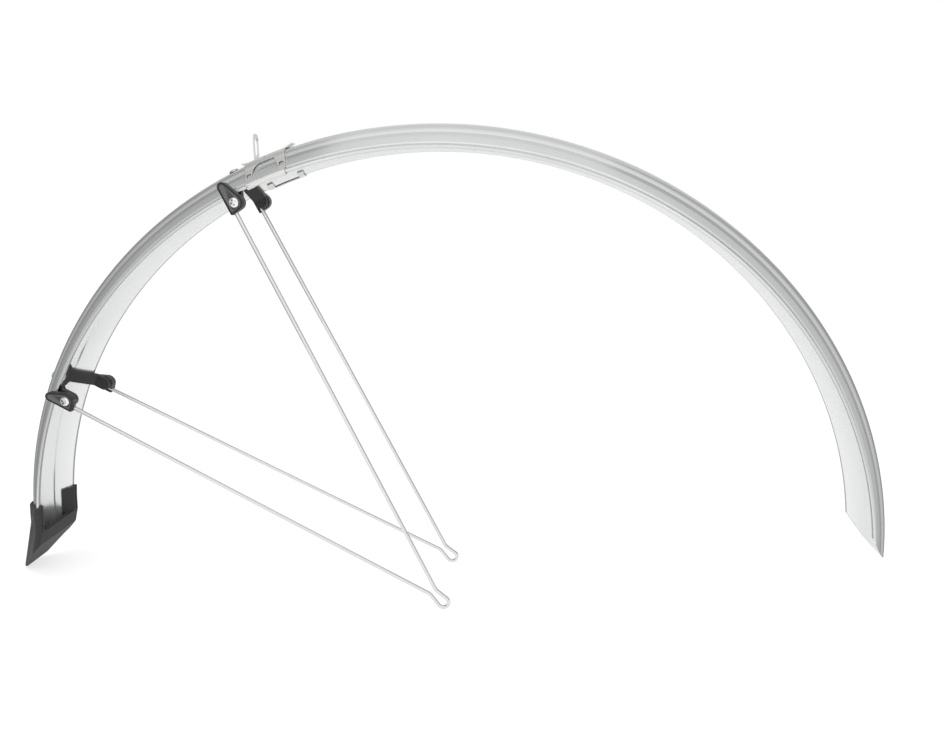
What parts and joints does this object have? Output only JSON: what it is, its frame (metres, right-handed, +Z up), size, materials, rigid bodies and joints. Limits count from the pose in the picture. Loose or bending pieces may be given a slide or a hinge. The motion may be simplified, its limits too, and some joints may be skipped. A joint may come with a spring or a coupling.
{
  "type": "bicycle mudguard",
  "caption": "Rear bicycle mudguard: long creased silver blade with a black flap, wire stays clamped under teardrop caps, and a sliding sheet metal bridge with a bolt tab.",
  "frame": {"origin": "middle of the bolt slot on the rear face of the bridge's tab, with the bridge at the rear end of its travel", "axes": "+X towards the front of the bicycle, +Y to its left side, +Z up"},
  "size_m": [0.7332, 0.0734, 0.3799],
  "materials": {
    "silver_plastic": "silver, satin to glossy",
    "black_rubber": "matt, moulded",
    "black_plastic": "matt, moulded",
    "cap_plastic": "satin, moulded",
    "bridge_steel": "bright rolled sheet",
    "stay_wire": "bright drawn wire",
    "screw_steel": "bright plated",
    "nut_steel": "plated",
    "rivet_metal": "plain"
  },
  "bodies": {
    "mudguard": {"blade": "silver_plastic", "mud_flap": "black_rubber", "right_stay": "stay_wire", "left_stay": "stay_wire", "upper_bracket": "black_plastic", "upper_bracket_rivet": "rivet_metal", "right_upper_stay_cap": "cap_plastic", "right_upper_clamp_screw": "screw_steel", "right_upper_clamp_nut": "nut_steel", "left_upper_stay_cap": "cap_plastic", "left_upper_clamp_screw": "screw_steel", "left_upper_clamp_nut": "nut_steel", "lower_bracket": "black_plastic", "lower_bracket_rivet": "rivet_metal", "right_lower_stay_cap": "cap_plastic", "right_lower_clamp_screw": "screw_steel", "right_lower_clamp_nut": "nut_steel", "left_lower_stay_cap": "cap_plastic", "left_lower_clamp_screw": "screw_steel", "left_lower_clamp_nut": "nut_steel"},
    "sliding_bridge": {"bridge": "bridge_steel"}
  },
  "joints": [
    {"name": "bridge_slide", "type": "hinge", "parent": "mudguard", "child": "sliding_bridge", "pos_m": [0.14252, 0, -0.34032], "axis": [0, 1, 0], "range_deg": [0, 40]}
  ]
}
